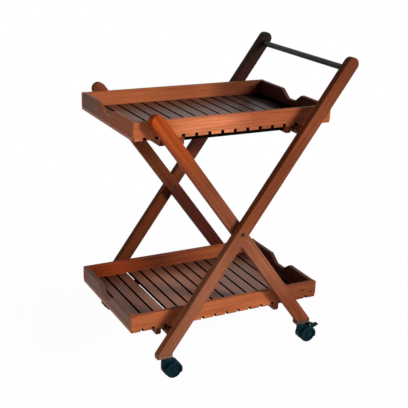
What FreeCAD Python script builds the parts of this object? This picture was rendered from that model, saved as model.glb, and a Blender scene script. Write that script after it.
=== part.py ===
"""Folding serving trolley with two lift-off slatted trays, in millimetres.

Two crossed pairs of legs turn on a pivot bolt each. Dowel rails join each pair, and the trays
sit on the rails. The cleats under a tray straddle its two rails, so the trays hold the cross
open. Each foot has a hooded twin-wheel caster. The casters of the inner pair have a brake.

The origin is on the floor, in the middle of the bounding box. +X is the tray's long
direction, towards the handle bar. +Y is the far side, and +Z is up.
"""

import FreeCAD, Part
import math
import os

Vec = FreeCAD.Vector
X_AXIS = Vec(1, 0, 0)
Y_AXIS = Vec(0, 1, 0)
Z_AXIS = Vec(0, 0, 1)
ORIGIN = Vec(0, 0, 0)
TINY = 0.01

# ---- trays
TRAY_LENGTH = 640.0
TRAY_WIDTH = 400.0
BOARD_HEIGHT = 43.0
SIDE_BOARD_T = 16.0
END_BOARD_T = 14.0
BOARD_ROUND = 2.0
SLAT_T = 9.0
SLAT_WIDTH = 36.0
SLAT_GAP = 5.0
SLAT_BEVEL = 1.0
SLAT_CORNER = 2.5
WIDE_GAP = 4
WIDE_GAP_EXTRA = 6.0
CLEAT_WIDTH = 16.0
CLEAT_DEPTH = 20.0
CLEAT_INSET = 0.5
CLEAT_BEVEL = 3.0
BATTEN_WIDTH = 12.0
BATTEN_DEPTH = 14.0
UPPER_BATTEN_INSET = 16.0
LOWER_BATTEN_INSET = 60.0
NOTCH_TOP_WIDTH = 115.0
NOTCH_FLOOR_WIDTH = 45.0
NOTCH_DEPTH = 25.0
NOTCH_ROUND = 8.0

# ---- crossed frames. A lean is a leg's angle above the floor, in degrees
OUTER_LEAN = 54.6
INNER_LEAN = 53.0
UPPER_RAIL_RISE = 284.0
LOWER_RAIL_DROP = 292.0
TRAY_TO_PIVOT = 7.0
RAIL_D = 26.0
RAIL_PLAY = 5.0
HANDLE_D = 18.0
HANDLE_OVER_RAIL = 222.0
LEG_WIDTH = 40.0
LEG_T = 24.0
LEG_ROUND = 2.5
OUTER_LEG_END = 38.0
INNER_LEG_END = 106.0
FOOT_HEIGHT = 68.0
FOOT_BLOCK_H = 13.0
SOCKET_DEPTH = 12.0
END_BEVEL = 1.5

# ---- pivot bolts
BOLT_D = 6.0
BOLT_HEAD_D = 10.0
BOLT_HEAD_H = 3.0
BOLT_HEAD_ROUND = 1.8
BOLT_KEY_AF = 4.0
BOLT_KEY_DEPTH = 1.8
WASHER_D = 20.0
PIVOT_NUT_D = 12.0
PIVOT_NUT_T = 3.0

# ---- casters
WHEEL_R = 25.0
WHEEL_W = 11.5
WHEEL_ROUND = 2.0
HUB_R = 7.0
HUB_DISH_R = 19.0
HUB_DISH_DEPTH = 2.5
RIBS = 8
RIB_T = 1.6
RIB_DROP = 0.8
TRAIL = 24.0
AXLE_R = 3.0
WEB_W = 9.0
HOOD_WALL = 2.0
HOOD_LIP = 5.5
HOOD_ROUND = 2.5
HOOD_DROP = 8.5
NECK_W = 16.0
NECK_FOOT_Z = -2.0
NECK_HEEL_Z = 9.0
COLLAR_R = 9.0
COLLAR_H = 12.0
COLLAR_RISE = 3.0
STEM_R = 4.0
STEM_SEAT = 21.0
STEM_BEVEL = 0.75
STEM_OFFSET = 3.0
SLEEVE_R = 7.0
SLEEVE_DEPTH = 32.0
SLEEVE_CAP = 2.0
FLANGE_R = 10.0
FLANGE_T = 1.5

# ---- brake pedal: lengths from its pin, and angles about the axle in degrees up from +X
PEDAL_W = 16.0
PEDAL_PIN_X = 8.0
PEDAL_PIN_R = 1.5
PEDAL_BOSS_R = 3.5
PEDAL_LENGTH = 35.0
PEDAL_CREST = 10.5
PEDAL_CREST_DROP = 1.5
PEDAL_DIP = 26.0
PEDAL_DIP_DROP = 5.5
PEDAL_T = 4.0
PEDAL_TOE_RISE = 2.0
PEDAL_TOE_T = 2.5
PEDAL_TRAVEL = 2.6
SHOE_LOW = 36.0
SHOE_HIGH = 53.0
SHOE_HEEL = 3.0
WINDOW_MARGIN = 12.0
EAR_R = 4.5
EAR_T = 3.0

# ---- clearances
TRAY_SIDE_GAP = 3.0
LEG_GAP = 3.0
REST_GAP = 0.05
GLUE_GAP = 0.05
TURN_GAP = 0.05
FACE_GAP = 0.1
WHEEL_GAP = 0.5
TREAD_GAP = 1.0
SWIVEL_GAP = 0.3
SLEEVE_TO_RAIL = 16.0

# ---- places worked out from the sizes above
PIVOT_HEIGHT = FOOT_HEIGHT + SLEEVE_DEPTH + SLEEVE_TO_RAIL + RAIL_D / 2 + LOWER_RAIL_DROP
LEAN = {1: math.radians(OUTER_LEAN), -1: math.radians(INNER_LEAN)}
OUTER_RAILS = UPPER_RAIL_RISE / math.sin(LEAN[1]), -LOWER_RAIL_DROP / math.sin(LEAN[1])
INNER_RAILS = UPPER_RAIL_RISE / math.sin(LEAN[-1]), -LOWER_RAIL_DROP / math.sin(LEAN[-1])
HANDLE_REACH = OUTER_RAILS[0] + HANDLE_OVER_RAIL
OUTER_LEG_REACH = HANDLE_REACH + OUTER_LEG_END
INNER_LEG_REACH = INNER_RAILS[0] + INNER_LEG_END
X_MAX = (OUTER_LEG_REACH - LEG_WIDTH / 2) * math.cos(LEAN[1]) + LEG_WIDTH / 2
PIVOT_X = (TRAY_LENGTH / 2 + TRAY_TO_PIVOT - X_MAX) / 2
TRAY_X = PIVOT_X - TRAY_TO_PIVOT
TRAY_HEIGHT = SLAT_T + BOARD_HEIGHT
LOWER_TRAY_Z = PIVOT_HEIGHT - LOWER_RAIL_DROP + RAIL_D / 2 + REST_GAP
UPPER_TRAY_Z = PIVOT_HEIGHT + UPPER_RAIL_RISE + RAIL_D / 2 + REST_GAP

INNER_Y = TRAY_WIDTH / 2 + TRAY_SIDE_GAP
OUTER_Y = INNER_Y + LEG_T + LEG_GAP
LEG_CUT_Z = FOOT_HEIGHT + FOOT_BLOCK_H

WHEEL_IN = WEB_W / 2 + WHEEL_GAP
WHEEL_OUT = WHEEL_IN + WHEEL_W
HOOD_IN_R = WHEEL_R + TREAD_GAP
HOOD_R = HOOD_IN_R + HOOD_WALL
HOOD_Y = WHEEL_OUT + WHEEL_GAP + HOOD_WALL
FLANGE_Z = FOOT_HEIGHT - FLANGE_T
NECK_TOP = FLANGE_Z - SWIVEL_GAP - WHEEL_R
PIN_REACH = HOOD_R + PEDAL_BOSS_R + FACE_GAP
PEDAL_PIN_Z = math.sqrt(PIN_REACH ** 2 - PEDAL_PIN_X ** 2)


# ---- plain shapes
def block(x0, x1, y0, y1, z0, z1):
    """Box between two corners."""
    return Part.makeBox(x1 - x0, y1 - y0, z1 - z0, Vec(x0, y0, z0))


def rod_y(x, z, y0, y1, radius):
    """Round bar along Y."""
    return Part.makeCylinder(radius, y1 - y0, Vec(x, y0, z), Y_AXIS)


def rod_z(x, y, z0, z1, radius):
    """Round bar along Z."""
    return Part.makeCylinder(radius, z1 - z0, Vec(x, y, z0), Z_AXIS)


def prism_y(points, y0, y1):
    """Solid with a straight-sided outline in XZ, from y0 to y1."""
    corners = [Vec(x, y0, z) for x, z in points]
    face = Part.Face(Part.makePolygon(corners + corners[:1]))
    return face.extrude(Vec(0, y1 - y0, 0))


def far_side(shape):
    """The same piece on the far side."""
    return shape.mirror(ORIGIN, Y_AXIS)


def edges_along(shape, axis):
    """Straight edges parallel to an axis."""
    lines = [e for e in shape.Edges if isinstance(e.Curve, Part.Line)]
    return [e for e in lines if e.tangentAt(e.FirstParameter).cross(axis).Length < TINY]


def edges_across(shape):
    """Edges that lie flat in a plane of one y."""
    return [e for e in shape.Edges if e.BoundBox.YLength < TINY]


def polar(radius, degrees):
    """Point (x, z) about the origin, at an angle up from +X."""
    return radius * math.cos(math.radians(degrees)), radius * math.sin(math.radians(degrees))


def bevelled_rod(x, z, half_length, radius):
    """Round bar across the trolley with bevelled ends."""
    bar = rod_y(x, z, -half_length, half_length, radius)
    return bar.makeChamfer(END_BEVEL, edges_across(bar))


# ---- frames
def on_leg(reach, side, across=0.0, y=0.0):
    """Point on a leg: reach up it from the pivot, and across it towards its upper edge.

    side is 1 for the outer legs, which rise to the right, and -1 for the inner ones.
    """
    cos, sin = math.cos(LEAN[side]), math.sin(LEAN[side])
    x = PIVOT_X + side * (reach * cos - across * sin)
    return Vec(x, y, PIVOT_HEIGHT + reach * sin + across * cos)


def foot_x(side):
    """Where a leg's centre line meets its level foot cut."""
    return PIVOT_X - side * (PIVOT_HEIGHT - LEG_CUT_Z) / math.tan(LEAN[side])


def stem_x(side):
    """A caster's swivel axis, a little nearer the middle than the foot's own centre."""
    return foot_x(side) + side * STEM_OFFSET


def leg_blank(side, reach, y_in):
    """Near leg: level foot cut, full-round top, rounded long edges."""
    half = LEG_WIDTH / 2
    y0 = -y_in - LEG_T
    ends = []
    for across in (-half, half):
        cut = (LEG_CUT_Z - PIVOT_HEIGHT - across * math.cos(LEAN[side])) / math.sin(LEAN[side])
        ends.append((on_leg(cut, side, across, y0), on_leg(reach - half, side, across, y0)))
    (foot_a, top_a), (foot_b, top_b) = ends
    outline = Part.Wire([
        Part.LineSegment(foot_a, top_a).toShape(),
        Part.Arc(top_a, on_leg(reach, side, 0, y0), top_b).toShape(),
        Part.LineSegment(top_b, foot_b).toShape(),
        Part.LineSegment(foot_b, foot_a).toShape(),
    ])
    blank = Part.Face(outline).extrude(Vec(0, LEG_T, 0))
    rims = [e for e in edges_across(blank) if e.BoundBox.ZMax > LEG_CUT_Z + TINY]
    return blank.makeFillet(LEG_ROUND, rims)


def leg(side, reach, y_in, cross_bars):
    """Near leg with its blind bores, pivot hole and caster bore.

    cross_bars lists the (reach, diameter) of each bar let into the inner face.
    """
    shape = leg_blank(side, reach, y_in)
    for bar_reach, bar_d in cross_bars:
        at = on_leg(bar_reach, side)
        hole = rod_y(at.x, at.z, -y_in - SOCKET_DEPTH - FACE_GAP, -y_in, bar_d / 2 + GLUE_GAP)
        shape = shape.cut(hole)
    shape = shape.cut(rod_y(PIVOT_X, PIVOT_HEIGHT, -y_in - LEG_T, -y_in, BOLT_D / 2 + TURN_GAP))
    return shape.cut(sleeve_bore(side, y_in))


def sleeve_bore(side, y_in):
    """Space for a caster's sleeve in a near leg and its foot block."""
    top = FOOT_HEIGHT + SLEEVE_DEPTH + FACE_GAP
    return rod_z(stem_x(side), -y_in - LEG_T / 2, FOOT_HEIGHT, top, SLEEVE_R + GLUE_GAP)


def foot_block(side, y_in):
    """Block glued under a near leg's level cut."""
    half = LEG_WIDTH / 2 / math.sin(LEAN[side])
    x = foot_x(side)
    foot = block(x - half, x + half, -y_in - LEG_T, -y_in, FOOT_HEIGHT, LEG_CUT_Z)
    foot = foot.makeFillet(LEG_ROUND, edges_along(foot, Z_AXIS))
    return foot.cut(sleeve_bore(side, y_in))


def caster_sleeve(side, y_in):
    """Closed metal sleeve with a flange, which takes a caster's stem."""
    x, y = stem_x(side), -y_in - LEG_T / 2
    top = FOOT_HEIGHT + SLEEVE_DEPTH
    sleeve = rod_z(x, y, FOOT_HEIGHT, top, SLEEVE_R).fuse(
        rod_z(x, y, FLANGE_Z, FOOT_HEIGHT, FLANGE_R))
    return sleeve.cut(rod_z(x, y, FLANGE_Z, top - SLEEVE_CAP, STEM_R + TURN_GAP))


def cross_bar(reach, side, y_in, diameter):
    """Round bar let into both legs of a pair."""
    at = on_leg(reach, side)
    return bevelled_rod(at.x, at.z, y_in + SOCKET_DEPTH, diameter / 2)


def outer_frame():
    """Legs that rise to the handle, with rails, handle bar, feet and sleeves."""
    upper, lower = OUTER_RAILS
    bars = [(upper, RAIL_D), (lower, RAIL_D), (HANDLE_REACH, HANDLE_D)]
    near = leg(1, OUTER_LEG_REACH, OUTER_Y, bars)
    foot, sleeve = foot_block(1, OUTER_Y), caster_sleeve(1, OUTER_Y)
    return {
        "outer_leg_near": near, "outer_leg_far": far_side(near),
        "outer_foot_near": foot, "outer_foot_far": far_side(foot),
        "outer_sleeve_near": sleeve, "outer_sleeve_far": far_side(sleeve),
        "outer_upper_rail": cross_bar(upper, 1, OUTER_Y, RAIL_D),
        "outer_lower_rail": cross_bar(lower, 1, OUTER_Y, RAIL_D),
        "handle_bar": cross_bar(HANDLE_REACH, 1, OUTER_Y, HANDLE_D),
    }


def inner_frame():
    """Shorter legs between the outer ones, with rails, feet and sleeves."""
    upper, lower = INNER_RAILS
    near = leg(-1, INNER_LEG_REACH, INNER_Y, [(upper, RAIL_D), (lower, RAIL_D)])
    pocket_floor = -INNER_Y - PIVOT_NUT_T - 2 * FACE_GAP
    near = near.cut(rod_y(PIVOT_X, PIVOT_HEIGHT, pocket_floor, -INNER_Y,
                          PIVOT_NUT_D / 2 + FACE_GAP))
    foot, sleeve = foot_block(-1, INNER_Y), caster_sleeve(-1, INNER_Y)
    return {
        "inner_leg_near": near, "inner_leg_far": far_side(near),
        "inner_foot_near": foot, "inner_foot_far": far_side(foot),
        "inner_sleeve_near": sleeve, "inner_sleeve_far": far_side(sleeve),
        "inner_upper_rail": cross_bar(upper, -1, INNER_Y, RAIL_D),
        "inner_lower_rail": cross_bar(lower, -1, INNER_Y, RAIL_D),
    }


def pivot_hardware():
    """Bolt, spacer washer and sunk nut of each pivot. They stay with the outer legs."""
    x, z = PIVOT_X, PIVOT_HEIGHT
    outside = -OUTER_Y - LEG_T
    nut_in = -INNER_Y - FACE_GAP
    head = rod_y(x, z, outside - BOLT_HEAD_H, outside, BOLT_HEAD_D / 2)
    rim = [e for e in edges_across(head) if e.BoundBox.YMax < outside - TINY]
    head = head.makeFillet(BOLT_HEAD_ROUND, rim)
    bolt = head.fuse(rod_y(x, z, outside, nut_in, BOLT_D / 2)).removeSplitter()
    corners = [polar(BOLT_KEY_AF / math.sqrt(3), a) for a in range(0, 360, 60)]
    key = prism_y([(x + dx, z + dz) for dx, dz in corners],
                  outside - BOLT_HEAD_H, outside - BOLT_HEAD_H + BOLT_KEY_DEPTH)
    bolt = bolt.cut(key)
    washer = rod_y(x, z, -OUTER_Y, -OUTER_Y + LEG_GAP - FACE_GAP, WASHER_D / 2)
    washer = washer.cut(rod_y(x, z, -OUTER_Y, -INNER_Y, BOLT_D / 2 + GLUE_GAP))
    nut = rod_y(x, z, nut_in - PIVOT_NUT_T, nut_in, PIVOT_NUT_D / 2)
    nut = nut.cut(rod_y(x, z, nut_in - PIVOT_NUT_T, nut_in, BOLT_D / 2 + GLUE_GAP))
    pieces = {"pivot_bolt": bolt, "pivot_washer": washer, "pivot_nut": nut}
    nodes = {}
    for name, shape in pieces.items():
        nodes[name + "_near"] = shape
        nodes[name + "_far"] = far_side(shape)
    return nodes


# ---- trays
def side_board():
    """Near board of a tray, full length."""
    half = TRAY_WIDTH / 2
    board = block(-TRAY_LENGTH / 2, TRAY_LENGTH / 2, -half, -half + SIDE_BOARD_T,
                  SLAT_T, TRAY_HEIGHT)
    top = [e for e in edges_along(board, X_AXIS) if e.BoundBox.ZMin > SLAT_T + TINY]
    return board.makeFillet(BOARD_ROUND, top)


def end_board():
    """Right-hand board of a tray, between the side boards, with its hand-hold notch."""
    half = TRAY_WIDTH / 2 - SIDE_BOARD_T
    x0, x1 = TRAY_LENGTH / 2 - END_BOARD_T, TRAY_LENGTH / 2
    board = block(x0, x1, -half, half, SLAT_T, TRAY_HEIGHT)
    top, low = NOTCH_TOP_WIDTH / 2, NOTCH_FLOOR_WIDTH / 2
    floor = TRAY_HEIGHT - NOTCH_DEPTH
    corners = [Vec(x0, -top, TRAY_HEIGHT), Vec(x0, -low, floor), Vec(x0, low, floor),
               Vec(x0, top, TRAY_HEIGHT)]
    notch = Part.Face(Part.makePolygon(corners + corners[:1])).extrude(Vec(END_BOARD_T, 0, 0))
    board = board.cut(notch)
    bends = [e for e in edges_along(board, X_AXIS)
             if abs(e.BoundBox.Center.y) < half - TINY and e.BoundBox.ZMin > SLAT_T + TINY]
    board = board.makeFillet(NOTCH_ROUND, bends)
    rims = [e for e in board.Edges if e.BoundBox.XLength < TINY and e.BoundBox.ZMin > SLAT_T + TINY]
    rims = [e for e in rims if abs(abs(e.BoundBox.Center.y) - half) > TINY]
    return board.makeFillet(BOARD_ROUND, rims)


def slat_edges(wide_gap):
    """Left and right side of each slat, from the left.

    Full slats are laid from the right end, and the last two share the width that remains.
    wide_gap counts from the left: the two slats beside that gap are planed narrower.
    """
    half = TRAY_LENGTH / 2
    pitch = SLAT_WIDTH + SLAT_GAP
    full = int((TRAY_LENGTH - SLAT_WIDTH) // pitch)
    first = half - full * pitch + SLAT_GAP
    narrow = (half + first - 2 * SLAT_GAP) / 2
    edges = [[-half, narrow - half], [first - SLAT_GAP - narrow, first - SLAT_GAP]]
    edges += [[first + i * pitch, first + i * pitch + SLAT_WIDTH] for i in range(full)]
    for number, (slat, following) in enumerate(zip(edges, edges[1:]), 1):
        if number == wide_gap:
            slat[1] -= WIDE_GAP_EXTRA / 2
            following[0] += WIDE_GAP_EXTRA / 2
    return edges


def slats(wide_gap):
    """Floor slats across the tray, under the boards. Their corners are clipped in plan."""
    half = TRAY_WIDTH / 2
    solids = []
    for left, right in slat_edges(wide_gap):
        slat = block(left, right, -half, half, 0, SLAT_T)
        slat = slat.makeChamfer(SLAT_CORNER, edges_along(slat, Z_AXIS))
        top = [e for e in edges_along(slat, Y_AXIS) if e.BoundBox.ZMin > TINY]
        solids.append(slat.makeChamfer(SLAT_BEVEL, top))
    return Part.makeCompound(solids)


def cleat_faces():
    """Rail-side faces of the two left cleats, which clear the upper and the lower left rail."""
    rails = [on_leg(INNER_RAILS[0], -1).x - TRAY_X, on_leg(OUTER_RAILS[1], 1).x - TRAY_X]
    room = RAIL_D / 2 + RAIL_PLAY
    return min(rails) - room, max(rails) + room


def cleats(count):
    """Cleats under the slats, from the left, with bevelled lead-in edges beside the rails."""
    half = TRAY_WIDTH / 2 - CLEAT_INSET
    outer, inner = cleat_faces()
    solids = []
    for face, way in ((outer, -1), (inner, 1), (-inner, -1), (-outer, 1))[:count]:
        outline = [(face, 0), (face, CLEAT_BEVEL - CLEAT_DEPTH), (face + way * CLEAT_BEVEL, -CLEAT_DEPTH),
                   (face + way * CLEAT_WIDTH, -CLEAT_DEPTH), (face + way * CLEAT_WIDTH, 0)]
        solids.append(prism_y(outline, -half, half))
    return Part.makeCompound(solids)


def battens(inset):
    """Two battens under the slats, between the inner cleats."""
    half = -cleat_faces()[1] - CLEAT_WIDTH
    y0 = -TRAY_WIDTH / 2 + inset
    near = block(-half, half, y0, y0 + BATTEN_WIDTH, -BATTEN_DEPTH, 0)
    return Part.makeCompound([near, far_side(near)])


def tray(level, bottom, cleat_count, batten_inset, wide_gap=0):
    """All pieces of one tray. level is its name and bottom the height of its slats' underside."""
    end = end_board()
    near = side_board()
    pieces = {
        "side_near": near, "side_far": far_side(near),
        "end_right": end, "end_left": end.mirror(ORIGIN, X_AXIS),
        "slats": slats(wide_gap), "cleats": cleats(cleat_count), "battens": battens(batten_inset),
    }
    return {f"{level}_{name}": shape.translated(Vec(TRAY_X, 0, bottom))
            for name, shape in pieces.items()}


def trays():
    """Two trays. The lower right rail is further out, so the lower tray has no cleat beyond it."""
    return {**tray("lower_tray", LOWER_TRAY_Z, 3, LOWER_BATTEN_INSET, WIDE_GAP),
            **tray("upper_tray", UPPER_TRAY_Z, 4, UPPER_BATTEN_INSET)}


# ---- casters, with the axle's centre at the origin and the stem at x = -TRAIL
def turned(shape, degrees):
    """A copy turned about the axle."""
    shape = shape.copy()
    shape.rotate(ORIGIN, Y_AXIS, degrees)
    return shape


def wheel_pair():
    """Two dished wheels, one each side of the web."""
    wheel = rod_y(0, 0, WHEEL_IN, WHEEL_OUT, WHEEL_R)
    wheel = wheel.makeFillet(WHEEL_ROUND, edges_across(wheel))
    floor = WHEEL_OUT - HUB_DISH_DEPTH
    dish = rod_y(0, 0, floor, WHEEL_OUT, HUB_DISH_R).cut(rod_y(0, 0, floor, WHEEL_OUT, HUB_R))
    rib = block(HUB_R - TINY, HUB_DISH_R + TINY, floor, WHEEL_OUT - RIB_DROP, -RIB_T / 2, RIB_T / 2)
    dish = dish.cut([turned(rib, i * 360 / RIBS) for i in range(RIBS)])
    wheel = wheel.cut(dish).cut(rod_y(0, 0, WHEEL_IN, WHEEL_OUT, AXLE_R + GLUE_GAP))
    return Part.makeCompound([wheel, far_side(wheel)])


def hood_body():
    """Outer form of the hood: a rounded drum cut off level, running up into the neck."""
    drum = rod_y(0, 0, -HOOD_Y, HOOD_Y, HOOD_R)
    drum = drum.makeFillet(HOOD_ROUND, edges_across(drum))
    below = block(-2 * HOOD_R, 2 * HOOD_R, -2 * HOOD_Y, 2 * HOOD_Y, -2 * HOOD_R, -HOOD_DROP)
    back, front = -TRAIL - COLLAR_R, -TRAIL + COLLAR_R
    shoulder = NECK_TOP - COLLAR_RISE
    neck = prism_y([(0, 0), (-HOOD_R, NECK_FOOT_Z), (back, NECK_HEEL_Z), (back, shoulder),
                    (front, shoulder), (0, HOOD_R)], -NECK_W / 2, NECK_W / 2)
    neck = neck.makeFillet(HOOD_ROUND, edges_along(neck, Z_AXIS))
    collar = rod_z(-TRAIL, 0, NECK_TOP - COLLAR_H, NECK_TOP, COLLAR_R)
    return drum.cut(below).fuse([neck, collar])


def wheel_room():
    """Room for the far wheel, with the round opening that leaves a lip in the hood's side."""
    lip_in = WHEEL_OUT + WHEEL_GAP
    room = rod_y(0, 0, WEB_W / 2, lip_in, HOOD_IN_R)
    return room.fuse(rod_y(0, 0, lip_in, HOOD_Y, HOOD_R - HOOD_LIP))


def pedal_ear(y0):
    """Ear beside the brake pedal, rising from the fender to the pedal's pin."""
    base = math.sqrt(HOOD_IN_R ** 2 - (PEDAL_PIN_X + EAR_R) ** 2)
    web = block(PEDAL_PIN_X - EAR_R, PEDAL_PIN_X + EAR_R, y0, y0 + EAR_T, base, PEDAL_PIN_Z)
    return web.fuse(rod_y(PEDAL_PIN_X, PEDAL_PIN_Z, y0, y0 + EAR_T, EAR_R))


def pedal_window():
    """Slot through the fender and the web's rim that lets the pedal's shoe down."""
    half = PEDAL_W / 2 + SWIVEL_GAP
    pin_angle = math.degrees(math.atan2(PEDAL_PIN_Z, PEDAL_PIN_X))
    boss_angle = math.degrees(math.asin((PEDAL_BOSS_R + SWIVEL_GAP) / PIN_REACH))
    low, high = SHOE_LOW - WINDOW_MARGIN, pin_angle + boss_angle
    slot = Part.makeCylinder(PIN_REACH + EAR_R, 2 * half, Vec(0, -half, 0), Y_AXIS, high - low)
    slot.rotate(ORIGIN, Y_AXIS, 90 - high)
    return slot.cut(rod_y(0, 0, -half, half, WHEEL_R - HOOD_WALL))


def hood(braked):
    """Caster hood: fender and lips over the wheels, web between them, neck for the stem."""
    shape = hood_body()
    if braked:
        ear = pedal_ear(PEDAL_W / 2 + SWIVEL_GAP)
        shape = shape.fuse([ear, far_side(ear)])
    shape = shape.cut([wheel_room(), far_side(wheel_room())])
    shape = shape.fuse(rod_y(0, 0, -WEB_W / 2, WEB_W / 2, HUB_R + HOOD_WALL))
    shape = shape.cut(rod_y(0, 0, -WEB_W / 2, WEB_W / 2, AXLE_R + TURN_GAP))
    shape = shape.cut(rod_z(-TRAIL, 0, NECK_TOP - STEM_SEAT, NECK_TOP, STEM_R + GLUE_GAP))
    if braked:
        pin_bore = rod_y(PEDAL_PIN_X, PEDAL_PIN_Z, -HOOD_Y, HOOD_Y, PEDAL_PIN_R + GLUE_GAP)
        shape = shape.cut([pedal_window(), pin_bore])
    return shape.removeSplitter()


def brake_pedal():
    """Foot pedal with a boss on its pin, a shoe above the treads and an upturned toe."""
    px, pz = PEDAL_PIN_X, PEDAL_PIN_Z
    shoe_low = polar(WHEEL_R + PEDAL_TRAVEL, SHOE_LOW)
    shoe_high = polar(WHEEL_R + PEDAL_TRAVEL, SHOE_HIGH)
    toe_x, dip_z = px + PEDAL_LENGTH, pz - PEDAL_DIP_DROP
    toe_z = dip_z + PEDAL_TOE_RISE
    outline = [(px, pz + PEDAL_BOSS_R), (px + PEDAL_CREST, pz + PEDAL_BOSS_R - PEDAL_CREST_DROP),
               (px + PEDAL_DIP, dip_z), (toe_x - END_BEVEL, toe_z), (toe_x, toe_z - PEDAL_TOE_T),
               (px + PEDAL_DIP, dip_z - PEDAL_T),
               (shoe_low[0] + SHOE_HEEL, shoe_low[1] + SHOE_HEEL / 2),
               shoe_low, shoe_high, (px, pz - PEDAL_BOSS_R)]
    lever = prism_y(outline, -PEDAL_W / 2, PEDAL_W / 2)
    boss = rod_y(px, pz, -PEDAL_W / 2, PEDAL_W / 2, PEDAL_BOSS_R)
    pedal = lever.fuse(boss).removeSplitter()
    return pedal.cut(rod_y(px, pz, -PEDAL_W / 2, PEDAL_W / 2, PEDAL_PIN_R + TURN_GAP))


def caster(braked):
    """Pieces of one caster about its axle's centre."""
    stem_top = FOOT_HEIGHT + SLEEVE_DEPTH - SLEEVE_CAP - FACE_GAP - WHEEL_R
    stem = rod_z(-TRAIL, 0, NECK_TOP - STEM_SEAT + FACE_GAP, stem_top, STEM_R)
    stem = stem.makeChamfer(STEM_BEVEL, [e for e in stem.Edges if e.BoundBox.ZLength < TINY])
    pieces = {"hood": hood(braked), "stem": stem, "wheels": wheel_pair(),
              "axle": rod_y(0, 0, -WHEEL_OUT, WHEEL_OUT, AXLE_R)}
    if braked:
        half = PEDAL_W / 2 + SWIVEL_GAP + EAR_T
        pieces["pedal"] = brake_pedal()
        pieces["pedal_pin"] = rod_y(PEDAL_PIN_X, PEDAL_PIN_Z, -half, half, PEDAL_PIN_R)
    return pieces


def casters():
    """A caster under each foot, all trailing towards +X. The inner pair's have a brake."""
    nodes = {}
    for pair, side, y_in, braked in (("outer", 1, OUTER_Y, False), ("inner", -1, INNER_Y, True)):
        pieces = caster(braked)
        x = stem_x(side) + TRAIL
        y = y_in + LEG_T / 2
        for place, way in (("near", -1), ("far", 1)):
            for name, shape in pieces.items():
                nodes[f"{pair}_caster_{name}_{place}"] = shape.translated(Vec(x, way * y, WHEEL_R))
    return nodes


def main():
    os.makedirs("parts", exist_ok=True)
    nodes = {}
    for group in (outer_frame(), inner_frame(), pivot_hardware(), casters(), trays()):
        nodes.update(group)
    for name, shape in nodes.items():
        shape.exportStep(f"parts/{name}.step")
    print(len(nodes), "nodes")


main()
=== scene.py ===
# %% [markdown]
# # A folding serving trolley, dressed for a picture
# The trolley is two crossed pairs of wooden legs, two slatted trays that lift off, a dark push
# bar and four small twin-wheel casters. The solid model already has every part at its true
# size, so this lesson adds what a solid model lacks: wood that looks like wood, moulded
# plastic, plated steel, and the small fasteners. We could redraw every part here, but the
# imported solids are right, so we keep them and give each one a finish of its own.

# %% Load the solid model
import itertools
import math
from collections import namedtuple

import bpy
import numpy as np
from mathutils import Matrix, Vector


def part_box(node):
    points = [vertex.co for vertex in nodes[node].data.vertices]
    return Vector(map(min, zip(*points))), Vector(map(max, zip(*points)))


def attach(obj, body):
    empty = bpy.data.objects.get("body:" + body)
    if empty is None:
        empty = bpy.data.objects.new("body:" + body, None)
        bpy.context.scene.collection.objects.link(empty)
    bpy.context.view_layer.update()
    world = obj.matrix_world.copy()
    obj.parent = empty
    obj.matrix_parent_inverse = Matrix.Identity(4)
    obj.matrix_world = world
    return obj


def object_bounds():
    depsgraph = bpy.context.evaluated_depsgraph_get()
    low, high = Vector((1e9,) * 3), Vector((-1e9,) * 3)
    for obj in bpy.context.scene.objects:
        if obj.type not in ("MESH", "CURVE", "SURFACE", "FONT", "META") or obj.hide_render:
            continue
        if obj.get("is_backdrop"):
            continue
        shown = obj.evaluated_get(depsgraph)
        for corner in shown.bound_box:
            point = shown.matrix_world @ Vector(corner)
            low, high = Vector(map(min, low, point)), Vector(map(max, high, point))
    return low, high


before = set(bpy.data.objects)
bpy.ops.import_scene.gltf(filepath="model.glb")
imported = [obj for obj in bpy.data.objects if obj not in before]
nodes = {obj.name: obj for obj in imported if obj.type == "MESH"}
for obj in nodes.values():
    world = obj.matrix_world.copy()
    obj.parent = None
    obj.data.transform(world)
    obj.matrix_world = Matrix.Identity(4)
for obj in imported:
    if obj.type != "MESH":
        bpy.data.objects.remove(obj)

cad_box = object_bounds()
size_text = " x ".join(f"{(hi - lo) * 1000:.0f}" for lo, hi in zip(*cad_box))
print(f"loaded {len(nodes)} parts, {size_text} mm over all")

# %% [markdown]
# ## Places that several finishes need
# Grain runs along a leg, so its finish has to know how far the leg leans, and the two pairs
# lean by different angles. We could type the angles in, but it is safer to measure them: the
# pivot bolt and an upper rail are two points on a leg's centre line.

# %% Measure the pivot and the lean of the legs
def middle(node):
    """Centre of a part's box: the mean of its lowest and highest corner."""
    low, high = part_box(node)
    return (low + high) / 2


pivot = middle("pivot_bolt_near")
tray_x = middle("upper_tray_slats").x


def rise(rail):
    """Direction up a leg: from the pivot to its upper rail, as a unit vector."""
    way = middle(rail) - pivot
    way.y = 0.0
    return way.normalized()


leg_way = {pair: rise(f"{pair}_upper_rail") for pair in ("outer", "inner")}
for pair, way in leg_way.items():
    print(f"the {pair} legs stand at {math.degrees(math.asin(way.z)):.1f} degrees to the floor")
print(f"pivot at x {pivot.x * 1000:.1f} mm and z {pivot.z * 1000:.0f} mm")
print(f"middle of the trays at x {tray_x * 1000:.1f} mm")

# %% [markdown]
# ## Shader maths that reads like maths
# A procedural finish is a formula with a few dozen terms. Wiring each term by hand hides the
# formula, so a small class wraps a node's output and lets Python's own + - * / build the Math
# nodes. A second class holds the material, and one of its methods adds every other kind of
# node.

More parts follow.
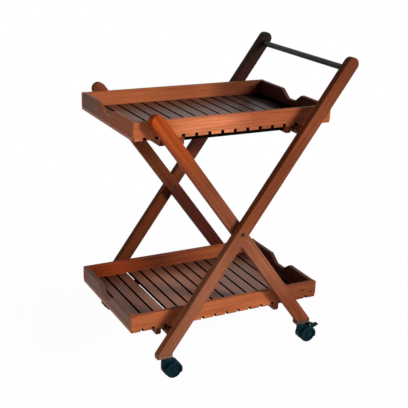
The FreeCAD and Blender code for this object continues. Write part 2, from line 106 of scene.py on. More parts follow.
# %% A socket that can be added, multiplied and compared
class Val:
    """One output of a node. Arithmetic on it adds Math nodes."""

    def __init__(self, finish, socket):
        self.finish = finish
        self.socket = socket

    def math(self, operation, *others):
        """Math node with this value first. Its formula is operation(self, others...)."""
        inputs = dict(enumerate((self, *others)))
        return self.finish.node("Math", {"operation": operation}, inputs)

    def __add__(self, other):
        return self.math("ADD", other)

    def __sub__(self, other):
        return self.math("SUBTRACT", other)

    def __mul__(self, other):
        return self.math("MULTIPLY", other)

    def __truediv__(self, other):
        return self.math("DIVIDE", other)

    def __pow__(self, other):
        return self.math("POWER", other)

    def __gt__(self, other):
        return self.math("GREATER_THAN", other)

    def __lt__(self, other):
        return self.math("LESS_THAN", other)

    def __rsub__(self, other):
        return self * -1.0 + other

    def __rtruediv__(self, other):
        return self ** -1.0 * other

    __radd__ = __add__
    __rmul__ = __mul__

    def between(self, low, high):
        """0 below low, 1 above high, and a smooth step from one to the other."""
        return self.finish.node("MapRange", {"interpolation_type": "SMOOTHSTEP"},
                                {"Value": self, "From Min": low, "From Max": high})


print("a node's output can now stand in a formula")

# %% A material in the making
def rgba(colour, scale=1.0, lift=0.0):
    """A colour times scale plus lift, 1 at most, and fully opaque."""
    return (*(min(1.0, part * scale + lift) for part in colour), 1.0)


class Finish:
    """A node tree in the making: a new material's, or one that is given."""

    def __init__(self, name, tree=None):
        if tree is None:
            self.material = bpy.data.materials.new(name)
            self.material.use_nodes = True
            tree = self.material.node_tree
        self.tree = tree
        self.tree.nodes.clear()

    def node(self, kind, settings=None, sockets=None, out=0):
        """Adds a node: its settings first, then a value or a link for each socket."""
        new = self.tree.nodes.new("ShaderNode" + kind)
        for key, value in (settings or {}).items():
            if key == "stops":
                self.set_stops(new.color_ramp, value)
            else:
                setattr(new, key, value)
        for key, value in (sockets or {}).items():
            if isinstance(value, Val):
                self.tree.links.new(value.socket, new.inputs[key])
            else:
                new.inputs[key].default_value = value
        return Val(self, new.outputs[out]) if len(new.outputs) else None

    @staticmethod
    def set_stops(ramp, stops):
        """Gives a colour ramp one stop per (place, colour)."""
        while len(ramp.elements) < len(stops):
            ramp.elements.new(0.5)
        for element, (place, colour) in zip(ramp.elements, stops):
            element.position = place
            element.color = rgba(colour)

    def ramp(self, factor, stops):
        """Colour that runs through the stops as factor grows."""
        return self.node("ValToRGB", {"stops": stops}, {"Fac": factor})

    def mix(self, factor, first, second, blend="MIX"):
        """Colour that runs from first to second as factor runs from 0 to 1."""
        return self.node("Mix", {"data_type": "RGBA", "blend_type": blend},
                         {0: factor, 6: first, 7: second}, out=2)

    def place(self):
        """Point on the piece, in metres, in the trolley's own axes."""
        return self.node("TexCoord", out=3)

    def dot(self, first, second):
        """Length of one vector along another: the sum of the products of their parts."""
        return self.node("VectorMath", {"operation": "DOT_PRODUCT"}, {0: first, 1: second}, out=1)

    def noise(self, point, scale, detail=2.0, roughness=0.5):
        """Cloudy value from 0 to 1."""
        return self.node("TexNoise", {}, {"Vector": point, "Scale": scale, "Detail": detail,
                                          "Roughness": roughness})

    def surface(self, matte=None, **sockets):
        """Ends the finish with a Principled shader. Its sockets are named with _ for a space.
        matte is a mask. Where it is 1 the surface has the same colour but no shine.
        """
        named = {key.replace("_", " "): value for key, value in sockets.items()}
        shader = self.node("BsdfPrincipled", {}, named)
        if matte is not None:
            dull = self.node("BsdfPrincipled", {}, {**named, "Specular IOR Level": 0.0})
            shader = self.node("MixShader", {}, {0: matte, 1: shader, 2: dull})
        self.node("OutputMaterial", {}, {"Surface": shader})
        return self.material


print("shader helpers ready")

# %% [markdown]
# ## Oiled hardwood
# Each board of the trolley is sawn from a trunk, so its figure comes from four things: growth
# rings, which are long bands along a board, streaks of redder and browner wood, fine fibres,
# and open pores that hold dark oil. An image of wood would repeat and stretch. A formula in the
# board's own directions doesn't: rings are the sine of the distance to the trunk's centre line,
# and the rest is noise that is stretched along the grain, from three times for the stains to
# fifty times for the fibres.

# %% Directions of a board, and the formula for its grain
X, Y, Z = (1, 0, 0), (0, 1, 0), (0, 0, 1)
RING_GAP = 0.0085
Grain = namedtuple("Grain", "figure fibres pores stains")


def grain_axes(along):
    """The direction of the grain, and two directions across it."""
    along = Vector(along).normalized()
    across = Vector(Y) if abs(along.y) < 0.5 else Vector(X)
    return along, across, along.cross(across)


def wood_grain(finish, along, seed, shift=None):
    """Figure, fibres, pores and stains of one board, each from about 0 to 1.

    u runs along the grain, and v and w across it, in metres. Rings are
    0.5 + 0.5 sin(2 pi r / gap), where r is the distance from a line that runs beside the board,
    and the noise that sways that line makes them wide here and narrow there. The figure is a
    weighted sum of streaks, rings, fibres and stains. The seed and the shift move the board
    along and across its trunk.
    """
    point = finish.place()
    u, v, w = (finish.dot(point, axis) for axis in grain_axes(along))
    u = u + seed * 3.1
    if shift is not None:
        u = u + shift * 2.3
        v = v + shift * 0.9

    def stretched(along_scale, across_scale, detail, roughness=0.5):
        """Noise whose cells are long beside the grain."""
        scaled = {0: u * along_scale, 1: v * across_scale, 2: w * across_scale}
        return finish.noise(finish.node("CombineXYZ", {}, scaled), 1.0, detail, roughness)

    trunk_v = 0.05 + 0.01 * math.sin(seed * 5.0)
    trunk_w = 0.09 + 0.02 * math.cos(seed * 3.0)
    radius = ((v + trunk_v) ** 2.0 + (w + trunk_w) ** 2.0) ** 0.5 + stretched(1.6, 9.0, 2.0) * 0.055
    rings = (radius * (2 * math.pi / RING_GAP)).math("SINE") * 0.5 + 0.5
    fibres = stretched(6.0, 280.0, 4.0, 0.6)
    streaks = stretched(4.5, 75.0, 3.0, 0.55)
    stains = stretched(5.0, 14.0, 3.0)
    pores = stretched(60.0, 900.0, 2.0).between(0.60, 0.72)
    figure = streaks * 0.62 + rings * 0.10 + fibres * 0.30 + stains * 0.35 - 0.18
    return Grain(figure, fibres, pores, stains)


print(f"growth rings {RING_GAP * 1000:.1f} mm apart, fibres stretched fifty times along the grain")

# %% [markdown]
# ## From figure to finish
# A colour ramp turns the figure into stain, darker in the late wood and lighter in the early
# wood. Oil soaks the pores, so they are darker and duller. The same values lift and sink the
# surface by a tenth of a millimetre or less, which breaks up the highlights.
#
# Corners of oiled wood wear first, and rounded edges catch the light. The Bevel node gives the
# direction that the surface would have if its edges were rounded, so where that differs from the
# true direction there is an edge. We could model the rounding on every board, but this gives the
# same highlight, and the difference itself is a mask for paler edges: partly worn wood, and partly
# a painted highlight.

# %% Rounded edges, and a wood finish for one board or leg
EDGE_RADIUS = 0.0014
WOOD_ROUGHNESS = 0.5


def rounded_edges(finish, radius):
    """Surface direction with rounded edges, and a mask that is 1 along an edge."""
    soft = finish.node("Bevel", {"samples": 4}, {"Radius": radius})
    true = finish.node("NewGeometry", out=1)
    return soft, (1.0 - finish.dot(soft, true)).between(0.02, 0.16)


def oiled(finish, stain, grain, soft, roughness, shine, matte=None):
    """Ends a wood finish. Fibres and figure stand up and pores sink in, from the direction soft.
    Pores and stained places are rougher than the rest.
    """
    height = grain.fibres * 0.6 + grain.figure * 0.3 - grain.pores * 0.8
    bump = finish.node("Bump", {}, {"Strength": 0.3, "Distance": 0.0005, "Normal": soft,
                                    "Height": height})
    uneven = grain.pores * 0.2 + grain.stains * 0.12 + roughness
    return finish.surface(matte, Base_Color=stain, Roughness=uneven, Normal=bump,
                          Specular_IOR_Level=shine)


def wood(name, along, tones, seed, extra=None, shine=0.10):
    """Oiled wood with its grain along a direction. tones are dark, middle and light stain, and
    extra changes the stain before the edges are made paler, as wear and as a painted highlight.
    """
    finish = Finish(name)
    grain = wood_grain(finish, along, seed)
    soft, edge = rounded_edges(finish, EDGE_RADIUS)
    dark, middle_tone, light = tones
    stain = finish.ramp(grain.figure, [(0.25, dark), (0.50, middle_tone), (0.78, light)])
    stain = finish.mix(grain.pores * 0.4, stain, rgba(dark, 0.4))
    if extra is not None:
        stain = extra(finish, stain)
    # Paler edges: partly wear, and partly a painted highlight where rounded edges catch the light.
    stain = finish.mix(edge * grain.fibres * 0.9, stain, rgba(light, 1.25, 0.02))
    return oiled(finish, stain, grain, soft, WOOD_ROUGHNESS, shine)


print("a wood finish takes its grain direction, its three tones and a seed")

# %% [markdown]
# ## A shelf of stains and painted shade
# The colour drifts along a board, from orange to brown, partly as stain and partly as painted
# light and shade. We could give every board its own colours, but a few named colours, used again
# and again, keep the trolley of a piece. A board's wood is toned from the lightest of its colours,
# and a ramp along the board darkens it to each colour in turn.

# %% Stains and painted shade, and how one drifts into the next
STAINS = {
    "salmon": (0.68, 0.21, 0.09),
    "orange": (0.48, 0.13, 0.045),
    "rust": (0.36, 0.09, 0.032),
    "copper": (0.31, 0.105, 0.052),
    "ember": (0.44, 0.07, 0.01),
    "fox": (0.42, 0.065, 0.015),
    "chestnut": (0.22, 0.055, 0.02),
    "umber": (0.14, 0.032, 0.01),
    "mahogany": (0.07, 0.015, 0.009),
    "clay": (0.40, 0.15, 0.09),
    "driftwood": (0.26, 0.12, 0.08),
    "slate": (0.14, 0.065, 0.045),
    "peat": (0.084, 0.039, 0.027),
    # Painted shade: black for the slat gaps, the battens under the trays, and wood that the trays
    # and end boards shade.
    "shade_black": (0.006, 0.004, 0.003),
}
STAIN_SWAY = 0.08


def tones_from(colour, spread=0.42):
    """Dark, middle and light tone from the middle one. Light wood is also a little yellower."""
    dark = np.multiply(colour, 1 - spread * np.array([1.0, 1.15, 1.1]))
    light = np.multiply(colour, 1 + spread * np.array([0.8, 1.1, 1.2]))
    return dark, colour, light


def lightest(stains):
    """The largest red, green and blue of a list of (place, name of a stain)."""
    return np.max([STAINS[name] for place, name in stains], axis=0)


def drift(node, along, stains):
    """Changes the colour along a part: stain, and painted shade where a list names it. stains lists
    (place, name of a stain), with each place in metres from the part's low end. Noise sways the
    places by up to 4 cm.

    The part's wood is toned from the lightest of its stains, and multiplied here by a ramp of
    each stain over the lightest.
    """
    low_end = Vector(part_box(node)[0]).dot(Vector(along))
    base = lightest(stains)
    stops = [(place, np.divide(STAINS[name], base)) for place, name in stains]

    def change(finish, stain):
        point = finish.place()
        swayed = finish.dot(point, along) + finish.noise(point, 9.0) * STAIN_SWAY
        from_end = swayed - (STAIN_SWAY / 2 + low_end)
        return finish.mix(1.0, stain, finish.ramp(from_end, stops), "MULTIPLY")
    return change


print(len(STAINS), "stains")

# %% Give a part its finish
def dress(node, material):
    """Gives a part one finish."""
    slots = nodes[node].data.materials
    slots.clear()
    slots.append(material)


def dress_wood(node, along, colour, seed, extra=None, shine=0.10):
    """Gives a part wood of its own, toned from one colour."""
    dress(node, wood(f"{node}_wood", along, tones_from(colour), seed, extra, shine))


planks = itertools.count(1)
print("each part gets wood from a plank of its own, whose number seeds the figure")

# %% [markdown]
# ## Legs and rails
# The legs are a darker, redder brown than the trays. Each leg came from its own plank, and its
# colour drifts along it, so a leg has two to four of the colours above, from its foot to its tip.
# That drift is partly stain and partly painted light and shade: the darkest colours of the far
# legs, mahogany and black, are painted shade where the trays and near legs shade them, and the
# greyer foot of the near outer leg is partly a painted sheen.

# %% Dress the legs and rails
# Painted shade on the far legs: mahogany and black where the trays and near legs shade them. The
# copper foot of the near outer leg is partly a painted sheen.
LEG_STAINS_AND_SHADE = {
    "outer_leg_near": ((0.26, "copper"), (0.38, "chestnut"), (0.64, "chestnut"), (0.78, "umber")),
    "inner_leg_near": ((0.08, "chestnut"), (0.20, "copper"), (0.50, "chestnut"), (0.68, "ember")),
    "outer_leg_far": ((0.30, "umber"), (0.41, "chestnut"), (0.47, "mahogany"), (0.86, "shade_black")),
    "inner_leg_far": ((0.32, "mahogany"), (0.42, "chestnut")),
}
RAILS = ("outer_upper_rail", "outer_lower_rail", "inner_upper_rail", "inner_lower_rail")

for node, stains in LEG_STAINS_AND_SHADE.items():
    pair = node.split("_")[0]
    dress_wood(node, leg_way[pair], lightest(stains), next(planks), drift(node, Z, stains),
               shine=0.06)
for node in RAILS:
    dress_wood(node, Y, STAINS["umber"], next(planks))
print(f"dressed {len(LEG_STAINS_AND_SHADE)} legs and {len(RAILS)} rails")

# %% [markdown]
# ## The tray boards
# The long boards of a tray have their grain along X, and the end boards along Y. They are a
# lighter, more orange stain than the legs, and it is as uneven. On the upper tray the boards
# darken towards the right end, and that is painted shade of the right end board and the near
# legs. Two knots show near the right end of each long board: a knot is a dark spot three times
# as long along the grain as across it.

# %% Dress the tray boards, cleats and battens
# Painted shade: the upper boards darken towards their right ends, to rust on the near board and to
# chestnut and umber on the far board, where the right end board and the near legs shade them.
SIDE_STAINS_AND_SHADE = {
    "upper_tray_side_near": ((0.10, "orange"), (0.18, "salmon"), (0.25, "salmon"), (0.39, "rust")),
    "lower_tray_side_near": ((0.45, "orange"), (0.52, "chestnut")),
    "upper_tray_side_far": ((0.42, "orange"), (0.50, "chestnut"), (0.58, "umber")),
    "lower_tray_side_far": ((0.08, "fox"), (0.25, "umber"), (0.46, "rust")),
}
# Painted shade: the left end boards darken from near to far, to slate, and the right end boards,
# whose inner faces are in shade, are umber near the front and mahogany beyond.
END_STAINS_AND_SHADE = {
    "upper_tray_end_left": ((0.12, "rust"), (0.34, "slate")),
    "lower_tray_end_left": ((0.25, "driftwood"), (0.42, "slate")),
    "upper_tray_end_right": ((0.05, "umber"), (0.20, "mahogany")),
    "lower_tray_end_right": ((0.00, "umber"), (0.10, "mahogany")),
}
# Each knot is (distance from the right end, height over the board's middle, radius).
KNOTS = ((0.050, 0.0, 0.005), (0.018, -0.012, 0.004))
BOARD_SEEDS, BLOCK_SEEDS = 0.7, 0.9


def add_knots(finish, stain, node):
    """Adds the knots to a long board. Each is the distance from its middle, with the part along
    the grain over three, swayed by noise and turned into a mask.
    """
    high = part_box(node)[1]
    point = finish.place()
    x, z = finish.dot(point, X), finish.dot(point, Z)
    for from_end, height, size in KNOTS:
        along = (x - (high.x - from_end)) / 3.0
        up = z - (middle(node).z + height)
        swayed = (along ** 2.0 + up ** 2.0) ** 0.5 + finish.noise(point, 60.0) * 0.004 - 0.002
        knot = 1.0 - swayed.between(size * 0.4, size)
        stain = finish.mix(knot * 0.8, stain, rgba(STAINS["mahogany"]))
    return stain


def side_board(node):
    """Colour that drifts along a long board, stain and painted shade, and its knots."""
    add_drift = drift(node, X, SIDE_STAINS_AND_SHADE[node])
    return lambda finish, stain: add_knots(finish, add_drift(finish, stain), node)


for node, stains in SIDE_STAINS_AND_SHADE.items():
    dress_wood(node, X, lightest(stains), next(planks) * BOARD_SEEDS, side_board(node))
for node, stains in END_STAINS_AND_SHADE.items():
    dress_wood(node, Y, lightest(stains), next(planks) * BOARD_SEEDS, drift(node, Y, stains),
               shine=0.15)
for level in ("upper", "lower"):
    plank = next(planks)
    dress_wood(f"{level}_tray_cleats", Y, STAINS["chestnut"], plank * BOARD_SEEDS)
    # Painted shade: the battens under the slats are black and dull, as the shade under a tray.
    dress_wood(f"{level}_tray_battens", X, STAINS["shade_black"], plank * BLOCK_SEEDS, shine=0.0)
print("dressed four long boards and four end boards, and the cleats and battens of both trays")

# %% [markdown]
# ## The slats
# All slats of a tray are one part, but each is its own piece of wood. The finish works out
# which slat a point is on, by dividing its distance along the tray by the slat spacing, and
# uses a random number for each slat to shift its figure and its tone. Their tops are browner,
# and their ends are stained like the boards above them. The rest is painted shade: the slats'
# sides and a narrow band beside each gap are nearly black, the slats darken towards the far
# board, and near the push bar, where the right end board shades them, nothing shines, and on the
# upper tray they turn black.

# %% Slat finish
SLAT_PITCH = 0.041
FIRST_GAP, SECOND_GAP = -0.287, -0.2515
# Where the painted shade reaches: beside each gap, towards the far board, and near the right end.
HALF_GAP, GAP_SHADE_REACH = 0.0025, 0.0060
FAR_SHADE_START, FAR_SHADE_END = 0.07, 0.19
RIGHT_END_SHADE_START, RIGHT_END_SHADE_END = 0.20, 0.27
SLAT_END_DEPTH, TRAY_END_DEPTH = 0.0015, 0.001
SLAT_EDGE_RADIUS = 0.0012
PORE_OIL = (0.03, 0.012, 0.008)
# Painted shade: the upper slats turn black towards the right end, where the right end board shades
# them.
SLAT_STAINS_AND_SHADE = {
    "upper_tray_slats": ((0.38, "slate"), (0.60, "shade_black")),
    "lower_tray_slats": ((0.00, "driftwood"), (0.12, "clay"), (0.30, "clay"), (0.44, "driftwood")),
}


def slat_number(along_tray):
    """Number of the slat at a place: the distance from the second gap over the pitch, rounded
    down. Everything left of that gap is rounded to -1, and the slat left of the first gap is
    told from its neighbour by counting 1.5 less.
    """
    pitches = (along_tray - SECOND_GAP) / SLAT_PITCH
    return pitches.math("MAXIMUM", -1.0).math("FLOOR") + (along_tray > FIRST_GAP) * 1.5 - 1.0


def distance_to_gap(along_tray):
    """Distance to the nearest gap: what is left over when the distance from the second gap is
    rounded to a whole pitch. More than half a pitch left of that gap a metre is added, so that
    only the first gap counts there.
    """
    pitches = (along_tray - SECOND_GAP) / SLAT_PITCH
    left_over = ((pitches + 0.5).math("FRACT") - 0.5).math("ABSOLUTE") * SLAT_PITCH
    to_first = (along_tray - FIRST_GAP).math("ABSOLUTE")
    return (left_over + (pitches < -0.5)).math("MINIMUM", to_first)


def drifting(finish, node, figure, stains, spread):
    """Stain that follows the figure, and drifts along the tray from colour to colour, painted shade
    among them.
    """
    tones = tones_from(lightest(stains), spread)
    return drift(node, X, stains)(finish, finish.ramp(figure, list(zip((0.2, 0.5, 0.8), tones))))


def slat_wood(node, seed, gap_shade, far_shade):
    """Wood whose figure and tone change from slat to slat, with painted shade in and beside the
    gaps, towards the far board and near the push bar.
    """
    finish = Finish(f"{node}_wood")
    shade_black = rgba(STAINS["shade_black"])
    half_x, half_y, _ = (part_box(node)[1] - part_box(node)[0]) / 2
    point = finish.place()
    along_tray = finish.dot(point, X) - tray_x
    across_tray = finish.dot(point, Y)
    from_middle = along_tray.math("ABSOLUTE")

    number = slat_number(along_tray) + seed
    chance = finish.node("TexWhiteNoise", {"noise_dimensions": "1D"}, {"W": number})
    grain = wood_grain(finish, Y, seed, chance)
    grain = grain._replace(figure=grain.figure + chance * 0.3 - 0.15)

    stain = drifting(finish, node, grain.figure, SLAT_STAINS_AND_SHADE[node], spread=0.36)
    # Painted shade: within a few millimetres of each gap the slat tops darken to black.
    near_gap = 1.0 - distance_to_gap(along_tray).between(HALF_GAP, GAP_SHADE_REACH)
    stain = finish.mix(near_gap * gap_shade, stain, shade_black)
    # Painted shade: the slats darken towards the far board.
    to_far = across_tray.between(FAR_SHADE_START, FAR_SHADE_END)
    stain = finish.mix(to_far * far_shade, stain, shade_black)

    board_stains = SIDE_STAINS_AND_SHADE[node.replace("slats", "side_near")]
    board = drifting(finish, node, grain.figure, board_stains, spread=0.42)
    slat_end = across_tray.math("ABSOLUTE") > half_y - SLAT_END_DEPTH
    tray_end = from_middle > half_x - TRAY_END_DEPTH
    stain = finish.mix(slat_end.math("MAXIMUM", tray_end), stain, board)

    # Painted shade: the slats' sides in the gaps are black.
    outward = finish.node("NewGeometry", out=1)
    faces_a_slat = finish.dot(outward, X).math("ABSOLUTE") > 0.5
    side = faces_a_slat * (from_middle < half_x - TRAY_END_DEPTH)
    stain = finish.mix(side, stain, shade_black)
    stain = finish.mix(grain.pores * 0.4, stain, rgba(PORE_OIL))
    # Painted shade: no shine on the slats' sides in the gaps, nor near the push bar, where the
    # right end board shades the slats.
    no_shine = side.math("MAXIMUM", along_tray.between(RIGHT_END_SHADE_START, RIGHT_END_SHADE_END))
    soft = rounded_edges(finish, SLAT_EDGE_RADIUS)[0]
    return oiled(finish, stain, grain, soft, roughness=0.28, shine=0.16, matte=no_shine)


dress("upper_tray_slats", slat_wood("upper_tray_slats", 11.0, gap_shade=0.9, far_shade=0.35))
dress("lower_tray_slats", slat_wood("lower_tray_slats", 37.0, gap_shade=0.6, far_shade=0.7))
print(f"slats dressed, {SLAT_PITCH * 1000:.0f} mm from one to the next")

# %% [markdown]
# ## Foot blocks
# A block is glued under each leg, with a dark glue line above it. Its grain stands upright, so
# its sides show short vertical fibres. The outer pair's blocks are pale, the inner pair's dark.

# %% Dress the foot blocks
FOOT_STAINS = {"outer": "driftwood", "inner": "peat"}
GLUE = (0.035, 0.015, 0.01)
GLUE_START, GLUE_FULL = 0.0018, 0.0004
foot_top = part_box("outer_foot_near")[1].z


def glue_line(finish, colour):
    """Darkens the top millimetre of a foot block, where glue squeezed out."""
    height = finish.dot(finish.place(), Z)
    squeezed = height.between(foot_top - GLUE_START, foot_top - GLUE_FULL)
    return finish.mix(squeezed * 0.8, colour, rgba(GLUE))


for pair, stain in FOOT_STAINS.items():
    for side in ("near", "far"):
        dress_wood(f"{pair}_foot_{side}", Z, STAINS[stain], next(planks) * BLOCK_SEEDS, glue_line)
print("dressed four foot blocks")

# %% [markdown]
# ## Plastic and metal
# The hoods, wheels and pedals are moulded, with a fine satin grain and a little dust in it. The
# push bar is black paint, which is smoother. Steel parts are zinc plated, with faint turning
# marks, and the pivot's bolts, washers and nuts have a dark coating.

# %% Plastic, paint and steel
def moulded(name, colour, roughness):
    """Moulded plastic: fine pitted grain, and dull patches where it has been handled."""
    finish = Finish(name)
    point = finish.place()
    grain = finish.noise(point, 2600.0, 2.0)
    rubbed = finish.noise(point, 45.0, 3.0)
    tint = finish.mix(rubbed.between(0.45, 0.75) * 0.35, rgba(colour), rgba(colour, 1.9, 0.004))
    bump = finish.node("Bump", {}, {"Strength": 0.25, "Distance": 0.0002, "Height": grain})
    return finish.surface(Base_Color=tint, Roughness=rubbed * 0.18 + roughness, Normal=bump,
                          Specular_IOR_Level=0.04)


def painted(name, colour):
    """Paint or coating: a soft orange-peel bump and slightly uneven gloss."""
    finish = Finish(name)
    point = finish.place()
    peel = finish.noise(point, 420.0, 1.0)
    worn = finish.noise(point, 18.0, 4.0)
    tint = finish.mix(worn.between(0.5, 0.8) * 0.5, rgba(colour), rgba(colour, 2.2))
    bump = finish.node("Bump", {}, {"Strength": 0.15, "Distance": 0.0003, "Height": peel})
    return finish.surface(Base_Color=tint, Roughness=worn * 0.2 + 0.32, Normal=bump,
                          Specular_IOR_Level=0.18)


def plated(name, colour):
    """Zinc-plated steel: metal with a fine cloudy crystal pattern and turning marks across Z."""
    finish = Finish(name)
    point = finish.place()
    cloud = finish.noise(point, 120.0, 3.0)
    squeezed = finish.node("VectorMath", {"operation": "MULTIPLY"},
                           {0: point, 1: (900.0, 900.0, 5200.0)})
    marks = finish.noise(squeezed, 1.0, 1.0)
    tint = finish.mix(cloud, rgba(colour, 0.8), rgba(colour))
    bump = finish.node("Bump", {}, {"Strength": 0.2, "Distance": 0.0001, "Height": marks})
    return finish.surface(Base_Color=tint, Metallic=1.0, Roughness=cloud * 0.2 + 0.25, Normal=bump)


hood_plastic = moulded("hood_plastic", (0.003, 0.018, 0.026), 0.45)
wheel_plastic = moulded("wheel_plastic", (0.004, 0.022, 0.032), 0.42)
pedal_plastic = moulded("pedal_plastic", (0.004, 0.013, 0.017), 0.45)
black_paint = painted("black_paint", (0.008, 0.009, 0.009))
dark_coating = painted("dark_coating", (0.012, 0.010, 0.009))
zinc_plate = plated("zinc_plate", (0.62, 0.63, 0.64))

# The first word that is in a part's name decides, so the pins come before the pedals.
MATERIAL_BY_WORD = {
    "handle_bar": black_paint,
    "pivot_": dark_coating,
    "_hood_": hood_plastic,
    "_wheels_": wheel_plastic,
    "_pedal_pin_": zinc_plate,
    "_pedal_": pedal_plastic,
    "_stem_": zinc_plate,
    "_axle_": zinc_plate,
    "_sleeve_": zinc_plate,
}
for node in nodes:
    fitting = [material for word, material in MATERIAL_BY_WORD.items() if word in node]
    if fitting:
        dress(node, fitting[0])
print("plastic, paint and steel dressed")

# %% [markdown]
# ## Screws under the trays
# The cleats are screwed to the slats from below. A screw head could be a cylinder with a cross
# cut out of it, but a height over a round grid is simpler and closes by itself: the head is a
# flat dome, and the cross is a dip in its height.

# %% Countersunk screw heads
SCREW_RADIUS, SCREW_RISE = 0.0038, 0.0006
SCREW_ROWS = (-0.165, -0.055, 0.055, 0.165)
CLEAT_WIDTH, RAIL_TO_CLEAT = 0.016, 0.018


def grid_faces(rows, columns, closed=True):
    """Quads of a grid of points. The last column joins the first one if the grid is closed."""
    spans = columns if closed else columns - 1
    row, column = np.meshgrid(np.arange(rows - 1), np.arange(spans), indexing="ij")
    here = row * columns + column
    beside = row * columns + (column + 1) % columns
    return np.stack([here, beside, beside + columns, here + columns], axis=-1).reshape(-1, 4)


def new_object(name, points, faces):
    """Object in the scene whose mesh has these arrays of points and faces."""
    mesh = bpy.data.meshes.new(name)
    mesh.from_pydata(points.tolist(), [], faces.tolist())
    mesh.validate()
    mesh.update()
    new = bpy.data.objects.new(name, mesh)
    bpy.context.scene.collection.objects.link(new)
    return new


def add_piece(name, points, faces, body, material):
    """Smooth piece that moves with one body."""
    piece = new_object(name, points, faces)
    piece.data.materials.append(material)
    piece.data.polygons.foreach_set("use_smooth", np.ones(len(piece.data.polygons), bool))
    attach(piece, body)


def screw_head(radius, depth):
    """Points and faces of one head that faces down, on a grid of radius r and angle a.

    Its height is -depth * (1 - (r / radius)^4), and a cross of slots, where the smaller of
    |sin a| and |cos a| times r is small, is sunk back to the level of the wood.
    """
    r = radius * np.array([1.0, 0.97, 0.8, 0.62, 0.45, 0.28, 0.1, 0.0])
    a = np.linspace(0, 2 * np.pi, 24, endpoint=False)
    r, a = np.meshgrid(r, a, indexing="ij")
    across_slot = np.minimum(abs(np.sin(a)), abs(np.cos(a))) * r
    cross = (across_slot < 0.16 * radius) & (r < 0.7 * radius)
    z = np.where(cross, 0.0, -depth * (1 - (r / radius) ** 4))
    points = np.stack([r * np.cos(a), r * np.sin(a), z], axis=-1).reshape(-1, 3)
    return points, grid_faces(*r.shape)


def copies(points, faces, places):
    """One shape set at many places: its points added to each place, its faces counted on."""
    places = np.asarray(places)
    first_points = len(points) * np.arange(len(places))[:, None, None]
    return (points + places[:, None]).reshape(-1, 3), (faces + first_points).reshape(-1, 4)


left_rails = (middle("inner_upper_rail").x - tray_x, middle("outer_lower_rail").x - tray_x)
outer_cleat = min(left_rails) - RAIL_TO_CLEAT - CLEAT_WIDTH / 2
inner_cleat = max(left_rails) + RAIL_TO_CLEAT + CLEAT_WIDTH / 2
cleat_centres = [tray_x + x for x in (outer_cleat, inner_cleat, -inner_cleat, -outer_cleat)]
for level, cleats in (("lower", 3), ("upper", 4)):
    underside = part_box(f"{level}_tray_cleats")[0].z
    places = [(x, y, underside) for x in cleat_centres[:cleats] for y in SCREW_ROWS]
    points, faces = copies(*screw_head(SCREW_RADIUS, SCREW_RISE), places)
    add_piece(f"{level}_cleat_screws", points, faces, f"{level}_tray", zinc_plate)
    print(level, "tray:", len(places), "screws")

# %% [markdown]
# ## Hub caps
# Each wheel has a small domed cap over the axle's end. A dome is a circle's arc turned about
# the axle: its height is the arc's own height at each radius.

# %% Hub caps on the axles
CAP_RADIUS, CAP_RISE = 0.0052, 0.0014


def hub_cap(radius, rise, way, centre):
    """Dome about Y: y = way * rise * sqrt(1 - (r / radius)^2), on a grid of r and angle."""
    r = radius * np.sin(np.linspace(np.pi / 2, 0, 8))
    a = np.linspace(0, 2 * np.pi, 32, endpoint=False)
    r, a = np.meshgrid(r, a, indexing="ij")
    y = way * rise * np.sqrt(np.clip(1 - (r / radius) ** 2, 0, 1))
    points = np.stack([r * np.cos(a), y, r * np.sin(a)], axis=-1).reshape(-1, 3)
    faces = grid_faces(*r.shape)
    return points + centre, faces if way > 0 else faces[:, ::-1]


for pair in ("outer", "inner"):
    for side in ("near", "far"):
        axle = f"{pair}_caster_axle_{side}"
        low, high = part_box(axle)
        x, _, z = middle(axle)
        near_points, near_faces = hub_cap(CAP_RADIUS, CAP_RISE, -1, (x, low.y, z))
        far_points, far_faces = hub_cap(CAP_RADIUS, CAP_RISE, 1, (x, high.y, z))
        points = np.concatenate([near_points, far_points])
        faces = np.concatenate([near_faces, far_faces + len(near_points)])
        add_piece(f"{pair}_hub_caps_{side}", points, faces, f"{pair}_wheels_{side}",
                  hood_plastic)
print("two hub caps on each of four axles")

# %% [markdown]
# ## Floor and daylight
# A studio shot needs a pale floor, a tall soft lamp in front and to the right, a weak one low
# on the left, and a faint even sky. The floor and the sky show plain white to the camera and in
# reflections, through the Light Path node, while the light that they throw on the wood stays
# weak.

# %% Floor, sky and lamps
FLOOR_HALF, FLOOR_POINTS = 9.0, 9
WHITE = rgba((1.0, 1.0, 1.0))


def flat_sheet(name, half, count):
    """A level square of count by count points: x and y run from -half to half, z is 0."""
    x, y = np.meshgrid(np.linspace(-half, half, count), np.linspace(-half, half, count),
                       indexing="ij")
    points = np.stack([x, y, np.zeros_like(x)], -1).reshape(-1, 3)
    return new_object(name, points, grid_faces(count, count, closed=False)[:, ::-1])


def seen_directly(finish):
    """1 for rays from the camera, from a mirror-like surface or through glass, else 0."""
    names = ("Is Camera Ray", "Is Glossy Ray", "Is Transmission Ray")
    from_camera, mirrored, through_glass = (finish.node("LightPath", out=name) for name in names)
    return from_camera.math("MAXIMUM", mirrored).math("MAXIMUM", through_glass)


floor = flat_sheet("floor", FLOOR_HALF, FLOOR_POINTS)
floor_finish = Finish("floor_white")
matt = floor_finish.node("BsdfDiffuse", {}, {"Color": rgba((0.9, 0.9, 0.9))})
glow = floor_finish.node("Emission", {}, {"Color": WHITE, "Strength": 1.0})
from_trolley = floor_finish.node("VectorMath", {"operation": "LENGTH"},
                                 {0: floor_finish.place()}, out=1)
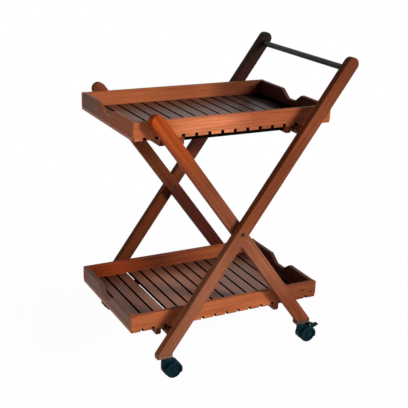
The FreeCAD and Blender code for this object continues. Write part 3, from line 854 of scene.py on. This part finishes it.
# Two per cent of the true floor show near the trolley, and with them a trace of its shadow.
plain = from_trolley.between(0.5, 1.5) * 0.02 + 0.98
floor_shader = floor_finish.node("MixShader", {}, {0: seen_directly(floor_finish) * plain,
                                                   1: matt, 2: glow})
floor_finish.node("OutputMaterial", {}, {"Surface": floor_shader})
floor.data.materials.append(floor_finish.material)
floor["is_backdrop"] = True

world = bpy.data.worlds.new("studio")
bpy.context.scene.world = world
world.use_nodes = True
sky = Finish("studio", world.node_tree)
fill = sky.node("Background", {}, {"Color": rgba((1.0, 0.97, 0.94)), "Strength": 0.04})
backdrop = sky.node("Background", {}, {"Color": WHITE, "Strength": 1.0})
sky_shader = sky.node("MixShader", {}, {0: seen_directly(sky), 1: fill, 2: backdrop})
sky.node("OutputWorld", {}, {"Surface": sky_shader})


def lamp(name, place, target, size, watts, colour=(1, 1, 1)):
    """Area lamp at a place, facing a target. size is its width and height."""
    data = bpy.data.lights.new(name, "AREA")
    data.shape = "RECTANGLE"
    data.size, data.size_y = size
    data.energy = watts
    data.color = colour
    holder = bpy.data.objects.new(name, data)
    bpy.context.scene.collection.objects.link(holder)
    holder.location = place
    holder.rotation_mode = "QUATERNION"
    holder.rotation_quaternion = (Vector(target) - Vector(place)).to_track_quat("-Z", "Y")


lamp("key", (2.7, -3.2, 2.3), (0, 0, 0.45), (0.8, 1.8), 210.0, (1.0, 0.97, 0.93))
lamp("left_fill", (-3.4, -0.7, 0.3), (0, 0, 0.4), (0.5, 0.5), 18.0)
print("white floor, two lamps and a faint sky")

# %% [markdown]
# ## The camera
# The camera stands to the left of the trolley's front and looks slightly down. We set its axes
# by hand rather than with a tracking constraint, because it is tilted by about two degrees.

# %% Camera
AZIMUTH, ELEVATION, ROLL = (math.radians(angle) for angle in (-28.168, 19.597, 2.1754))
DISTANCE, LENS, SENSOR_WIDTH = 2.7614, 77.43, 36.0
BESIDE_PIVOT, LOOK_HEIGHT = 0.00265, 0.43164
look_at = Vector((pivot.x + BESIDE_PIVOT, 0.0, LOOK_HEIGHT))

back = Vector((math.sin(AZIMUTH) * math.cos(ELEVATION), -math.cos(AZIMUTH) * math.cos(ELEVATION),
               math.sin(ELEVATION)))
level_right = (-back).cross(Vector(Z)).normalized()
level_up = level_right.cross(-back)
right = level_right * math.cos(ROLL) + level_up * math.sin(ROLL)
up = level_up * math.cos(ROLL) - level_right * math.sin(ROLL)

camera_data = bpy.data.cameras.new("camera")
camera_data.lens = LENS
camera_data.sensor_width = SENSOR_WIDTH
camera = bpy.data.objects.new("camera", camera_data)
bpy.context.scene.collection.objects.link(camera)
camera.matrix_world = Matrix((right, up, back)).transposed().to_4x4()
camera.location = look_at + back * DISTANCE
bpy.context.scene.camera = camera
print("camera at", [round(c, 3) for c in camera.location])

# %% [markdown]
# ## Last lines
# The picture keeps colours as they are written, and the trolley's size before and after
# dressing is printed as its growth at the top corner.

bpy.context.scene.view_settings.view_transform = "Standard"
bpy.context.view_layer.update()
dressed_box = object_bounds()
growth = [round((after - before) * 1000, 2) for before, after in zip(cad_box[1], dressed_box[1])]
print("grown by", growth, "mm at the top corner")
